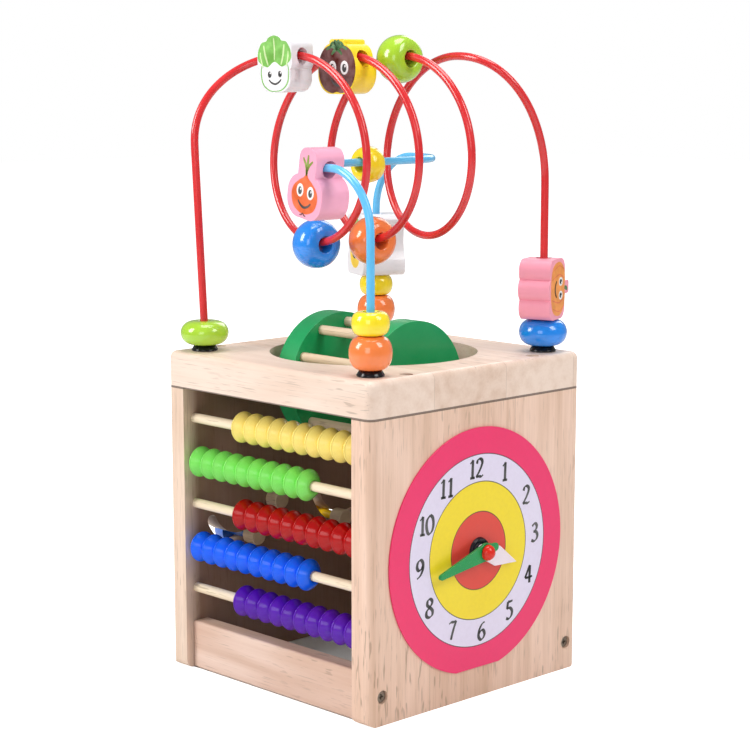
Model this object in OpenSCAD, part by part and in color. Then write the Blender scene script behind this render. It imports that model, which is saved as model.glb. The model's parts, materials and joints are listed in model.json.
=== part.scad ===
// Wooden activity cube: abacus, clock, wavy track, gears, drum and a two-wire bead maze.
// X runs from the track side to the clock side, Y from the abacus to the gears, Z is up.
// The origin is the middle of the overall footprint, on the surface the cube stands on.

/* [Cube] */
// Width and depth of the square cube
body_w = 180; // [176:1:190]
// Height of the cube up to the top face of the top board
body_h = 200; // [196:1:215]
// Thickness of the top board
board_t = 22; // [20:1:24]
// Thickness of the two side panels
panel_t = 15; // [14:1:16]
// Thickness of the back panel that carries the gears
back_t = 12; // [10:1:14]
// Radius of the upright corners
corner_r = 5; // [4:0.5:6]
// Height of the rail under the abacus
rail_h = 30; // [24:1:34]
// Distance of the rail behind the front edges
rail_inset = 5.5; // [3:0.5:7]
// Radius of the round opening in the top board
hole_r = 64; // [64:0.5:65]

/* [Abacus] */
// Distance of the rods behind the front edges
rod_inset = 9; // [9:0.5:12]
// Diameter of a rod
rod_d = 6; // [5:0.5:6.5]
// Height of the lowest rod
rod_low = 51; // [49:1:54]
// Distance between two rods
rod_gap = 26.9; // [25:0.1:27]
// Diameter of an abacus bead
disc_d = 19; // [17:0.5:19]
// Distance between two abacus beads in a full row
disc_pitch = 10.9; // [10:0.1:11]

/* [Clock] */
// Radius of the dial
dial_r = 74; // [70:0.5:76]
// Height of the clock centre
clock_z = 90; // [88:1:92]
// Length of the long hand from its pivot
long_hand = 40; // [34:1:42]
// Length of the short hand from its pivot
short_hand = 31.6; // [26:0.1:33]

/* [Drum] */
// Radius of the drum's end discs
drum_r = 41.5; // [40:0.5:42]
// Thickness of an end disc
drum_disc_t = 15; // [12:1:16]
// Number of bars between the end discs
bar_count = 10; // [8:1:10]

/* [Bead maze] */
// Distance of the wire ends from the board's edges
wire_inset = 16.5; // [16:0.5:18]
// Diameter of the coated wires
wire_d = 4.8; // [4:0.1:5]
// Radius of the first coil in the red wire
coil_r = 56.8; // [55:0.1:57]
// Advance of the coil per turn
coil_pitch = 33.1; // [32.5:0.1:33.5]
// Sideways swing of the blue wire
swing = 36; // [33:1:37]

/* [Gears] */
// Tooth module of the gears
gear_m = 3.5; // [3.3:0.1:3.6]
// Thickness of a gear
gear_t = 8; // [7:0.5:9]

/* [Hidden] */
$fn = 64;
half = body_w / 2;
seam_z = body_h - board_t;
inner_x = half - panel_t;
tiny = 0.01;
// protrusions on the two sides set the shift to the middle of the footprint
clear = 0.3;
gear_gap = 1.5;
pin_head_t = 3;
back_out = half + gear_gap + gear_t + clear + pin_head_t;
front_out = half - rod_inset + disc_d / 2;
shift_y = (back_out - max(front_out, half)) / 2;
side_out = 13;
// fastener sizes
screw_head_d = 6.6;
screw_sink = 3;
board_screw_y = 54;
rail_screw_z = 17;
rail_screw_y = 80;
// abacus
rod_seat = 9;
disc_t = disc_pitch - 0.2;
row_travel = 2 * inner_x - 10 * disc_pitch - 0.4;
// clock
clock_y = -1.7;
dial_t = 1;
dial_flat_z = 18.4;
spacer_d = 16.5;
spacer_t = 2;
hand_t = 2;
pin_d = 4;
cap_r = 4.8;
// drum
drum_z = seam_z + 2;
drum_mid = -4;
bar_d = 6;
bar_ring_r = 35.5;
bar_phase = 117;
drum_gap = 50;
axle_d = 8;
axle_seat_x = inner_x + 10;
// maze
wire_sides = 10;
post = half - wire_inset;
reach = post * sqrt(2);
collar_h = 3.5;
wire_depth = 16;
bore_d = 10;
coil_u0 = -50.2;
coil_z = 322.5;
coil_rise = 2.8;
coil_a = 39.2;
coil_narrow = 7.3;
coil_shrink = 3.4;
coil_lead = 1.9;
coil_b = 42;
turns = 3;
left_top_u = -108.5;
arc_start_z = 326;
arc_end_z = 304;
blue_flat_z = 315.5;
blue_bend_z = 280;
blue_bend = 0.105;
// track
wave_r = 24.6;
wave_half = 66;
wave_mid_y = -1;
wave_z = 91.6;
slot_w = 7;
stem_d = 6;
knob_d = 18;
// gears
gear_bore = 6.6;
gear_pin_d = 6;
teeth_big = 16;
teeth_small = 12;
big_x = 46;
big_z = 128;

function unit(v) = v / norm(v);

// ---- general shapes ----

module round_rect(w, d, r) {
    square([w - 2 * r, d], center = true);
    square([w, d - 2 * r], center = true);
    for (x = [-1, 1], y = [-1, 1])
        translate([x * (w / 2 - r), y * (d / 2 - r)]) circle(r);
}

// board with upright corners of radius r and its top edge rounded by e
module rounded_board(w, d, t, r, e) {
    linear_extrude(t - e) round_rect(w, d, r);
    linear_extrude(t) round_rect(w - 2 * e, d - 2 * e, r - e);
    for (s = [-1, 1]) {
        translate([s * (w / 2 - e), 0, t - e]) rotate([90, 0, 0])
            cylinder(r = e, h = d - 2 * r, center = true);
        translate([0, s * (d / 2 - e), t - e]) rotate([0, 90, 0])
            cylinder(r = e, h = w - 2 * r, center = true);
    }
    for (x = [-1, 1], y = [-1, 1])
        translate([x * (w / 2 - r), y * (d / 2 - r), t - e])
            rotate_extrude() intersection() {
                translate([r - e, 0]) circle(e);
                translate([0, -e]) square([r + e, 2 * e]);
            }
}

// upright panel, outer face at x = 0 facing +X, thickness t, with soft outer edges
module side_panel(t, d, h, r) {
    intersection() {
        translate([-t, 0, 0]) rotate([90, 0, 90]) linear_extrude(t) {
            translate([-d / 2, r]) square([d, h - r]);
            translate([-d / 2 + r, 0]) square([d - 2 * r, h]);
            for (s = [-1, 1]) translate([s * (d / 2 - r), r]) circle(r);
        }
        linear_extrude(h) {
            translate([-t, -d / 2]) square([t - r, d]);
            translate([-t, -d / 2 + r]) square([t, d - 2 * r]);
            for (s = [-1, 1]) translate([-r, s * (d / 2 - r)]) circle(r);
        }
    }
}

// round bead along Z with a bore; full = 1 gives an ellipse, less gives a fuller rim
module bead(d, h, bore, full = 0.8) {
    steps = 14;
    lip = bore / 2 + 0.8;
    rotate_extrude() polygon(concat(
        [[bore / 2, -h / 2]],
        [for (i = [0 : steps]) let (a = -90 + 180 * i / steps)
            [lip + (d / 2 - lip) * pow(max(cos(a), 0), full), h / 2 * sin(a)]],
        [[bore / 2, h / 2]]));
}

// tube of radius r through the points of path; ref is never along the path
function ring(p, t, r, ref) =
    let (n = unit(cross(t, ref)), b = cross(t, n))
    [for (k = [0 : wire_sides - 1]) let (a = 360 * k / wire_sides)
        p + r * (cos(a) * n + sin(a) * b)];

module tube(path, r, ref) {
    n = len(path);
    s = wire_sides;
    points = [for (i = [0 : n - 1])
        let (t = unit(path[min(i + 1, n - 1)] - path[max(i - 1, 0)]))
        each ring(path[i], t, r, ref)];
    faces = concat(
        [for (i = [0 : n - 2], k = [0 : s - 1], half_quad = [0, 1])
            let (a = i * s + k, b = i * s + (k + 1) % s)
            half_quad == 0 ? [a, b, a + s] : [b, b + s, a + s]],
        [[for (k = [s - 1 : -1 : 0]) k]],
        [[for (k = [0 : s - 1]) (n - 1) * s + k]]);
    polyhedron(points, faces);
}

// ---- cube ----

module origin_shift() translate([0, -shift_y, 0]) children();

module board_screw_spots()
    for (x = [-1, 1], y = [-1, 1])
        translate([x * (half - panel_t / 2), y * board_screw_y, body_h]) children();

module side_screw_spots()
    for (x = [-1, 1], y = [-1, 1])
        translate([x * half, y * rail_screw_y, rail_screw_z])
            rotate([0, x * 90, 0]) children();

module sink() translate([0, 0, -screw_sink]) cylinder(d = screw_head_d + 1.4, h = 10);

// slots that are open to the seam between the board and the side panels
module axle_seats() {
    wide = axle_d + 0.6;
    long = 2 * axle_seat_x + 1;
    translate([0, 0, drum_z]) rotate([0, 90, 0]) cylinder(d = wide, h = long, center = true);
    translate([-long / 2, -wide / 2, seam_z - tiny]) cube([long, wide, drum_z - seam_z + tiny]);
}

module wire_spots()
    for (x = [-1, 1], y = [-1, 1]) translate([x * post, y * post, body_h]) children();

module top_board() color("BurlyWood") difference() {
    translate([0, 0, seam_z]) rounded_board(body_w, body_w, board_t, corner_r, 4);
    translate([0, 0, seam_z - 1]) cylinder(r = hole_r, h = board_t + 2, $fn = 128);
    board_screw_spots() sink();
    wire_spots() translate([0, 0, -wire_depth - 0.2]) cylinder(d = wire_d + 0.4, h = 30);
    axle_seats();
}

module rod_holes()
    for (i = [0 : 4]) translate([0, -half + rod_inset, rod_low + i * rod_gap])
        rotate([0, 90, 0]) cylinder(d = rod_d + 0.2, h = 2 * (inner_x + rod_seat + 0.5), center = true);

module clock_panel() color("BurlyWood") difference() {
    translate([half, 0, 0]) side_panel(panel_t, body_w, seam_z, corner_r);
    rod_holes();
    axle_seats();
    side_screw_spots() sink();
    translate([0, clock_y, clock_z]) rotate([0, 90, 0]) cylinder(d = pin_d + 0.2, h = body_w);
}

function wave_sign(i) = i % 2 == 0 ? 1 : -1;
wave_step = 2 * wave_r * sin(wave_half);
wave_rise = wave_r * cos(wave_half);
// centre of arc i, counted -1, 0, 1 from the left trough to the right trough
function wave_centre(i) = [wave_mid_y + i * wave_step, wave_z + (i == 0 ? -wave_rise : wave_rise)];

module wave_slot() {
    for (i = [-1 : 1]) translate(wave_centre(i)) intersection() {
        difference() {
            circle(wave_r + slot_w / 2);
            circle(wave_r - slot_w / 2);
        }
        polygon([[0, 0], for (s = [-1, 1])
            3 * wave_r * [s * sin(wave_half), (i == 0 ? 1 : -1) * cos(wave_half)]]);
    }
    for (s = [-1, 1]) translate([wave_mid_y + s * 1.5 * wave_step, wave_z]) circle(d = slot_w);
    for (s = [-1, 1]) translate([wave_mid_y + s * 0.5 * wave_step, wave_z]) circle(d = slot_w);
}

module track_panel() color("BurlyWood") difference() {
    mirror([1, 0, 0]) translate([half, 0, 0]) side_panel(panel_t, body_w, seam_z, corner_r);
    rod_holes();
    axle_seats();
    side_screw_spots() sink();
    translate([-half - 1, 0, 0]) rotate([90, 0, 90]) linear_extrude(panel_t + 2) wave_slot();
}

module back_panel() color("Wheat") difference() {
    translate([-inner_x + 0.1, half - back_t, 0]) cube([2 * inner_x - 0.2, back_t, seam_z - 0.1]);
    gear_spots() translate([0, 0, -20]) cylinder(d = gear_pin_d + 0.2, h = 40);
}

module bottom_rail() color("BurlyWood")
    translate([0, -half + rail_inset, 0]) rotate([90, 0, 90])
        linear_extrude(2 * inner_x - 0.2, center = true)
            translate([6, rail_h / 2]) round_rect(12, rail_h, 1.5);

module screw() {
    translate([0, 0, -screw_sink + 0.05]) difference() {
        cylinder(d = screw_head_d, h = 1.6);
        for (a = [0, 90]) rotate(a) translate([0, 0, 1.2]) cube([3.6, 0.9, 1.4], center = true);
    }
}

module screws() color("DimGray") {
    board_screw_spots() screw();
    side_screw_spots() screw();
}

// ---- abacus ----

module abacus_rods() color("Beige")
    for (i = [0 : 4]) translate([0, -half + rod_inset, rod_low + i * rod_gap])
        rotate([0, 90, 0]) cylinder(d = rod_d, h = 2 * (inner_x + rod_seat), center = true);

module abacus_bead() {
    hub = 5;
    rim = 0.8;
    steps = 4;
    r = disc_d / 2;
    side = [for (i = [0 : steps]) let (x = i / steps)
        [hub + (r - hub) * x, rim / 2 + (disc_t - rim) / 2 * (1 - pow(x, 1.25))]];
    rotate([0, 90, 0]) rotate_extrude() polygon(concat(
        [[rod_d / 2 + clear, disc_t / 2]], side,
        [for (i = [steps : -1 : 0]) [side[i][0], -side[i][1]]],
        [[rod_d / 2 + clear, -disc_t / 2]]));
}

// a row of ten beads; dir is the end it rests at and level its rod, counted from the bottom
module bead_row(level, dir)
    for (i = [0 : 9])
        translate([dir * (inner_x - 0.2 - disc_pitch * (i + 0.5)),
            -half + rod_inset, rod_low + level * rod_gap]) abacus_bead();

module beads_yellow() color("Gold") bead_row(4, 1);
module beads_green() color("LimeGreen") bead_row(3, -1);
module beads_red() color("Firebrick") bead_row(2, 1);
module beads_blue() color("RoyalBlue") bead_row(1, -1);
module beads_purple() color("Indigo") bead_row(0, 1);

// ---- clock ----

module on_clock(out = 0) translate([half + out, clock_y, clock_z]) rotate([90, 0, 90]) children();

module clock_dial() color("DeepPink") on_clock(0.1) linear_extrude(dial_t) difference() {
    intersection() {
        circle(dial_r, $fn = 128);
        translate([-dial_r, dial_flat_z - clock_z]) square(2 * dial_r);
    }
    circle(d = pin_d + 0.4);
}

hand_1_x = 0.1 + dial_t + spacer_t + clear;
hand_2_x = hand_1_x + hand_t + clear;
cap_x = hand_2_x + hand_t + clear;

module clock_spacer() color("Black") on_clock(0.1 + dial_t + tiny)
    rotate_extrude() translate([pin_d / 2 + 0.1, 0])
        polygon([[0, 0], [spacer_d / 2 - 2.1, 0], [spacer_d / 2 - 2.9, spacer_t - tiny],
            [0, spacer_t - tiny]]);

short_hand_turn = -20.6;
long_hand_turn = 193.3;

module short_hand() color("LavenderBlush") on_clock(hand_1_x) rotate(short_hand_turn)
    linear_extrude(hand_t) difference() {
        union() {
            circle(d = 9);
            polygon([[0, -4.2], [13.3, -6.2], [short_hand, 0], [13.3, 6.2], [0, 4.2]]);
        }
        circle(d = pin_d + 0.6);
    }

module long_hand() color("SeaGreen") on_clock(hand_2_x) rotate(long_hand_turn)
    linear_extrude(hand_t) difference() {
        union() {
            circle(d = 11);
            translate([-8.3, 0]) circle(d = 5);
            polygon([[-8.3, -2.5], [0, -5.3], [long_hand - 1.7, -1.7], [long_hand - 1.7, 1.7],
                [0, 5.3], [-8.3, 2.5]]);
            translate([long_hand - 1.7, 0]) circle(r = 1.7);
        }
        circle(d = pin_d + 0.6);
    }

module clock_pin() color("Red") on_clock(-panel_t + 2) {
    cylinder(d = pin_d, h = panel_t - 2 + cap_x + 0.5);
    translate([0, 0, panel_t - 2 + cap_x]) rotate_extrude() intersection() {
        translate([0, side_out - cap_x - cap_r]) circle(cap_r);
        translate([0, 0]) square([cap_r + 1, 2 * cap_r]);
    }
}

// ---- drum ----

module on_drum(x) translate([x, 0, drum_z]) rotate([90, 0, 90]) children();

module drum_disc(x) on_drum(x) difference() {
    cylinder(r = drum_r, h = drum_disc_t, $fn = 128);
    translate([0, 0, -1]) cylinder(d = axle_d + 0.1, h = drum_disc_t + 2);
    for (i = [0 : bar_count - 1]) rotate(bar_phase + 360 * i / bar_count)
        translate([bar_ring_r, 0, x < drum_mid ? drum_disc_t - 5 : -5])
            cylinder(d = bar_d + 0.1, h = 10);
}

drum_left_x = drum_mid - drum_gap / 2 - drum_disc_t;
drum_right_x = drum_mid + drum_gap / 2;

module drum_left_disc() color("SeaGreen") drum_disc(drum_left_x);
module drum_right_disc() color("SeaGreen") drum_disc(drum_right_x);

module drum_bars() color("Wheat") on_drum(drum_mid - drum_gap / 2 - 4.9)
    for (i = [0 : bar_count - 1]) rotate(bar_phase + 360 * i / bar_count)
        translate([bar_ring_r, 0, 0]) cylinder(d = bar_d, h = drum_gap + 9.8);

module drum_axle() color("Wheat") translate([0, 0, drum_z]) rotate([0, 90, 0])
    cylinder(d = axle_d, h = 2 * axle_seat_x, center = true);

// ---- bead maze ----
// Wire paths use u along the diagonal from the left front to the right back corner and v across it.

module diagonal() rotate([0, 0, 45]) children();

// coil point at turning angle t, t = 0 at the first top; the coils get slightly smaller
function coil(t) = let (s = t / (360 * turns))
    [coil_u0 + coil_pitch * t / 360 + (coil_a - coil_narrow * s) * sin(t + coil_lead),
        -coil_b * sin(t), coil_z + coil_rise * s + (coil_r - coil_shrink * s) * cos(t)];
function coil_dir(t) = unit(coil(t + 0.5) - coil(t - 0.5));

function bezier(p, x) = pow(1 - x, 3) * p[0] + 3 * pow(1 - x, 2) * x * p[1]
    + 3 * (1 - x) * pow(x, 2) * p[2] + pow(x, 3) * p[3];
left_foot = [-reach, 0, body_h + 12];
left_top = [left_top_u, 0, arc_start_z];
right_top = [reach, 0, arc_end_z];
left_bend = [left_top, left_top + 34 * unit(left_top - left_foot), coil(0) - 41 * coil_dir(0), coil(0)];
right_bend = [coil(360 * turns), coil(360 * turns) + 50 * coil_dir(360 * turns),
    right_top + [0, 0, 35], right_top];

bend_steps = 12;
coil_step = 10;
foot_z = body_h - wire_depth;
red_path = concat(
    [[-reach, 0, foot_z]],
    [for (i = [0 : 3]) left_foot + (left_top - left_foot) * i / 4],
    [for (i = [0 : bend_steps - 1]) bezier(left_bend, i / bend_steps)],
    [for (t = [0 : coil_step : 360 * turns]) coil(t)],
    [for (i = [1 : bend_steps]) bezier(right_bend, i / bend_steps)],
    [[reach, 0, 250], [reach, 0, foot_z]]);

// swing of the blue wire, s from 0 at the front post to 1 at the back post
function blue_plan(s) = [-swing * sin(360 * s), -reach * (1 - 2 * s)];
function blue_bend_pt(a, back) =
    let (s = blue_bend * (1 - cos(a)), q = blue_plan(back ? 1 - s : s))
    [q[0], q[1], blue_bend_z + (blue_flat_z - blue_bend_z) * sin(a)];
function blue_flat(s) = concat(blue_plan(s), [blue_flat_z]);
function blue_dir(s) = unit(blue_flat(s + 0.002) - blue_flat(s - 0.002));

blue_path = concat(
    [[0, -reach, foot_z], [0, -reach, blue_bend_z - 30]],
    [for (a = [0 : 9 : 81]) blue_bend_pt(a, false)],
    [for (i = [0 : 36]) blue_flat(blue_bend + (1 - 2 * blue_bend) * i / 36)],
    [for (a = [81 : -9 : 0]) blue_bend_pt(a, true)],
    [[0, reach, blue_bend_z - 30], [0, reach, foot_z]]);

module red_wire() color("Red") diagonal()
    tube(red_path, wire_d / 2, [coil_b, coil_a, 0]);

module blue_wire() color("SkyBlue") diagonal() tube(blue_path, wire_d / 2, [1, 0, 0]);

module wire_collars() color("Black") wire_spots() rotate_extrude()
    polygon([[wire_d / 2 + 0.1, tiny], [8, tiny], [8.2, 0.8], [6.8, collar_h - 0.4],
        [6.2, collar_h], [wire_d / 2 + 0.1, collar_h]]);

stack_z = body_h + collar_h + 0.1;
flat_d = 29.5;
flat_h = 15;
blue_h = 16.5;
ball_d = 25;
ball_h = 19.5;
small_d = 22;
small_h = 13.5;

module on_post(u, v, z) diagonal() translate([u, v, z]) children();

module bead_left_green() color("YellowGreen")
    on_post(-reach, 0, stack_z + flat_h / 2) bead(flat_d, flat_h, bore_d - 3);
module bead_right_blue() color("DodgerBlue")
    on_post(reach, 0, stack_z + blue_h / 2) bead(flat_d, blue_h, bore_d - 3);
module bead_front_orange() color("Coral")
    on_post(0, -reach, stack_z + ball_h / 2) bead(ball_d, ball_h, bore_d - 3, 0.75);
module bead_front_yellow() color("Yellow")
    on_post(0, -reach, stack_z + ball_h + 0.2 + small_h / 2) bead(small_d, small_h, bore_d - 0.5);
module bead_back_orange() color("Coral")
    on_post(0, reach, stack_z + ball_h / 2) bead(ball_d, ball_h, bore_d - 3, 0.75);
module bead_back_yellow() color("Yellow")
    on_post(0, reach, stack_z + ball_h + 0.2 + small_h / 2) bead(small_d, small_h, bore_d - 0.5);

// flat wooden block: children are its outline in X and Z, the bore runs along X at height 0
module block(t, span) difference() {
    rotate([90, 0, 0]) linear_extrude(t, center = true) children();
    rotate([0, 90, 0]) cylinder(d = bore_d, h = 2 * span, center = true);
}

module cabbage_outline() {
    translate([0, -11.5]) round_rect(24, 19, 8);
    translate([0, 0]) round_rect(27, 18, 5);
    for (x = [-1, 1]) translate([x * 8.5, 5]) circle(5);
    translate([0, 7]) circle(6);
}

module tomato_outline() {
    translate([0, -8]) round_rect(33, 26, 12);
    translate([0, -3]) round_rect(27, 24, 9);
    translate([0, 9]) round_rect(13, 5, 2);
}

module onion_outline() rotate(10) {
    translate([0, -15.7]) round_rect(32, 25, 11);
    translate([0, 0.5]) round_rect(16, 24, 6.5);
}

module pumpkin_outline() {
    for (i = [-1 : 1]) translate([11 * i, -3]) round_rect(15, 27 + (i == 0 ? 3 : 0), 7);
    round_rect(30, 18, 4);
    translate([0, 14]) round_rect(8, 7, 2);
}

module pear_outline() {
    difference() {
        round_rect(40, 30, 4);
        for (y = [-1, 1]) translate([3, y * 42]) circle(30);
    }
}

cabbage_from = bezier(left_bend, 0.85);
cabbage_to = coil(6);
module cabbage_block() color("White")
    on_wire((cabbage_from + cabbage_to) / 2, unit(cabbage_to - cabbage_from), 0.4)
        block(20, 27) cabbage_outline();
module tomato_block() color("Yellow") on_coil(360, 2) block(17, 33) tomato_outline();

// places a child at point p, drop below it, with its X axis along d
module on_wire(p, d, drop) diagonal() translate(p - [0, 0, drop])
    rotate([0, -asin(d[2]), atan2(d[1], d[0])]) children();

// places a child on the coil at angle t
module on_coil(t, drop) on_wire(coil(t), coil_dir(t), drop) children();

module bead_coil_green() color("YellowGreen") on_coil(718, 2.1)
    rotate([0, 90, 0]) bead(28.8, 20, bore_d, 0.75);
module bead_coil_blue() color("DodgerBlue") on_coil(180, 1)
    rotate([0, 90, 0]) bead(30, 20, bore_d, 0.75);
module bead_coil_orange() color("Coral") on_coil(538, 1)
    rotate([0, 90, 0]) bead(29.5, 20, bore_d, 0.75);

module on_swing(s, drop) {
    d = blue_dir(s);
    diagonal() translate(blue_flat(s) - [0, 0, drop]) rotate(atan2(d[1], d[0])) children();
}

module onion_block() color("Pink") on_swing(0.155, 1.2) translate([0, -1, 0]) rotate(9)
    block(20, 35) onion_outline();
module bead_swing_yellow() color("Yellow") on_swing(0.485, 1.5)
    rotate([0, 90, 0]) bead(22, 14.5, bore_d - 1, 0.75);

module pumpkin_block() color("Pink")
    on_post(reach, 0, stack_z + blue_h + 0.2 + 18.6) rotate([0, -90, -114]) block(20, 40)
        pumpkin_outline();
module pear_block() color("White")
    on_post(0, reach, stack_z + ball_h + small_h + 0.4 + 20) rotate([0, -90, 112]) block(30, 42)
        pear_outline();

// ---- wavy track ----

// places a child on arc i of the slot, turned by a from the arc's middle, looking along -X
module on_track(i, a) {
    c = wave_centre(i);
    r = wave_r * (i == 0 ? 1 : -1);
    translate([-half, c[0] + r * sin(a), c[1] + r * cos(a)]) rotate([0, -90, 0]) children();
}

module track_knob() {
    cylinder(d = knob_d, h = 3);
    rotate_extrude() intersection() {
        translate([0, 2]) circle(knob_d / 2 + 1.7);
        square([knob_d / 2, side_out - clear]);
    }
    translate([0, 0, -panel_t - 9.5]) cylinder(d = stem_d, h = panel_t + 10.5);
}

module knob_at(i, a) on_track(i, a) translate([0, 0, clear]) track_knob();

module cap_at(i, a) on_track(i, a) translate([0, 0, -panel_t - clear - 10]) difference() {
    cylinder(d = 11.5, h = 10);
    translate([0, 0, 1]) cylinder(d = stem_d + 0.1, h = 10);
}

knob_turn = [-18, -46, 16];
module track_knob_left() color("RoyalBlue") knob_at(-1, knob_turn[0]);
module track_knob_mid() color("Red") knob_at(0, knob_turn[1]);
module track_knob_right() color("Gold") knob_at(1, knob_turn[2]);
module track_cap_left() color("Tan") cap_at(-1, knob_turn[0]);
module track_cap_mid() color("Tan") cap_at(0, knob_turn[1]);
module track_cap_right() color("Tan") cap_at(1, knob_turn[2]);

// ---- gears ----

mesh_big = gear_m * (teeth_big + teeth_small) / 2;
mesh_small = gear_m * teeth_small;
gear_mid_z = big_z - sqrt(pow(mesh_big, 2) - pow(big_x, 2));
mesh_drop = asin((big_z - gear_mid_z) / mesh_big);

// x and z of each gear: left, middle, right, lower
gear_at = [[-big_x, big_z], [0, gear_mid_z], [big_x, big_z], [0, gear_mid_z - mesh_small]];

// positions seen from behind: local X is -X, local Y is up, local Z is +Y
module gear_spot(i) translate([gear_at[i][0], half, gear_at[i][1]]) rotate([90, 0, 180]) children();
module gear_spots() for (i = [0 : 3]) gear_spot(i) children();

// gear with a tooth centred at angle phase
module gear(teeth, phase) {
    r = gear_m * teeth / 2;
    root = r - 3.6;
    difference() {
        union() {
            cylinder(r = root, h = gear_t);
            for (i = [0 : teeth - 1]) rotate(phase + 360 * i / teeth) linear_extrude(gear_t)
                polygon([[root - 1, -3.4], [root, -3.2], [r, -2.2], [r + 2.6, -1.3],
                    [r + 2.6, 1.3], [r, 2.2], [root, 3.2], [root - 1, 3.4]]);
        }
        translate([0, 0, -1]) cylinder(d = gear_bore, h = gear_t + 2);
    }
}

// from behind, the left gear is on the right-hand side; directions between gear centres there
dir_left_mid = 180 + mesh_drop;
dir_mid_left = mesh_drop;
dir_mid_right = 180 - mesh_drop;
dir_right_mid = -mesh_drop;
pitch_small = 360 / teeth_small;
pitch_big = 360 / teeth_big;
mid_phase = dir_mid_left + pitch_small / 2;
// meshing phase of a gear whose partner has a tooth at phase p, seen along direction dir
function meshed(p, pitch_p, dir, pitch_q) = let (off = (dir - p) / pitch_p)
    dir + 180 + (off + 0.5) * pitch_q;

module gear_body(i) gear_spot(i) translate([0, 0, gear_gap]) children();
module gear_left() color("Tomato") gear_body(0) gear(teeth_big, dir_left_mid);
module gear_middle() color("Gold") gear_body(1) gear(teeth_small, mid_phase);
module gear_right() color("MediumSeaGreen") gear_body(2)
    gear(teeth_big, meshed(mid_phase, pitch_small, dir_mid_right, pitch_big));
module gear_lower() color("CornflowerBlue") gear_body(3)
    gear(teeth_small, meshed(mid_phase, pitch_small, -90, pitch_small));

module gear_pins() color("Wheat") gear_spots() {
    translate([0, 0, -back_t + 1]) cylinder(d = gear_pin_d, h = back_t + gear_gap + gear_t + 1);
    translate([0, 0, gear_gap + gear_t + clear]) rotate_extrude()
        polygon([[0, 0], [6.5, 0], [6.5, 1.4], [5, pin_head_t], [0, pin_head_t]]);
    translate([0, 0, 0.02]) cylinder(d = 12, h = gear_gap - clear);
}

origin_shift() {
    top_board();
    clock_panel();
    track_panel();
    back_panel();
    bottom_rail();
    screws();
    abacus_rods();
    beads_yellow();
    beads_green();
    beads_red();
    beads_blue();
    beads_purple();
    clock_dial();
    clock_spacer();
    short_hand();
    long_hand();
    clock_pin();
    drum_left_disc();
    drum_right_disc();
    drum_bars();
    drum_axle();
    red_wire();
    blue_wire();
    wire_collars();
    bead_left_green();
    bead_right_blue();
    pumpkin_block();
    bead_front_orange();
    bead_front_yellow();
    bead_back_orange();
    bead_back_yellow();
    pear_block();
    cabbage_block();
    tomato_block();
    bead_coil_green();
    bead_coil_blue();
    bead_coil_orange();
    onion_block();
    bead_swing_yellow();
    track_knob_left();
    track_knob_mid();
    track_knob_right();
    track_cap_left();
    track_cap_mid();
    track_cap_right();
    gear_left();
    gear_middle();
    gear_right();
    gear_lower();
    gear_pins();
}
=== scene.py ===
"""Looks of a wooden activity cube: abacus, clock, wavy track, gears, drum and a two-wire bead maze.

Lengths are millimetres in the cube's own frame (cube centre at x = y = 0, Z up), and place() turns
them into metres in the row frame. Materials, lights and the floor use metres of the row frame."""

import json
import math

import bmesh
import bpy
from mathutils import Matrix, Vector


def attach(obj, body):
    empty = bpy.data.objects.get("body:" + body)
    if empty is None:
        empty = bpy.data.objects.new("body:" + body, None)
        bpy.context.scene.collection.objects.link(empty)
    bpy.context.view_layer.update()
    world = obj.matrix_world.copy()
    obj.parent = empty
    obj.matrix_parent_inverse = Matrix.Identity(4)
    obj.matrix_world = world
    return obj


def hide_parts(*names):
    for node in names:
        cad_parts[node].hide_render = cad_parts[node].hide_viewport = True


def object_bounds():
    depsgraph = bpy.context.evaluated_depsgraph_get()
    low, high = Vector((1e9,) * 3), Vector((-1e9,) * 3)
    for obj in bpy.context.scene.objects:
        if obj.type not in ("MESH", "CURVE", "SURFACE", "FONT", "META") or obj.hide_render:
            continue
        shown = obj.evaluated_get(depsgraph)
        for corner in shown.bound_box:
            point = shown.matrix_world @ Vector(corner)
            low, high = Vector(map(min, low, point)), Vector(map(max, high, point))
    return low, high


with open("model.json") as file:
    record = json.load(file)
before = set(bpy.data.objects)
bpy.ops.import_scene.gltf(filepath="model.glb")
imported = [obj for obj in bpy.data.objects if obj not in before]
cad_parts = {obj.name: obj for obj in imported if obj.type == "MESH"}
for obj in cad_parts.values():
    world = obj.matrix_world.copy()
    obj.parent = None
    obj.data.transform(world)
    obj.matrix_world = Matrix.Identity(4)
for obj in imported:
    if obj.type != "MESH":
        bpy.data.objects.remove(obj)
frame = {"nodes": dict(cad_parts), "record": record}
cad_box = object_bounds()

MM = 0.001
HALF = 90.0
BODY_H = 200.0
TOP_T = 22.0
DRUM_JOINT = next(j for j in frame["record"]["behaviour"]["joints"] if j["name"] == "drum_spin")
SHIFT = Vector((0, DRUM_JOINT["pos_m"][1] / MM, 0))
SLOT_OF = {s["node"]: s["material_slot"] for s in frame["record"]["subparts"]}
BODY_OF = {n: b for b, nodes in frame["record"]["behaviour"]["bodies"].items() for n in nodes}

# the painted shade line under the top board (a dark band standing in for the contact shadow where
# it meets the panels), the joint line between glued strips, and how far behind the outer face the
# painted shade inside the cube starts and is complete, with the dark brown tone of that shade
SEAM_Z, SEAM_HALF = (BODY_H - TOP_T) * MM, 0.0007
GLUE_LINE = 0.00022
INSIDE_SHADE_FROM, INSIDE_SHADE_FULL, INSIDE_SHADE_TONE = 1.5, 11.5, (0.20, 0.085, 0.045)

WIRE_R, WIRE_INSET = 2.38, 16.5
DIAL_Y, DIAL_Z = -1.7, 90.0


def place(p):
    return (Vector(p) + SHIFT) * MM


# ------------------------------------------------------------------ materials

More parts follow.
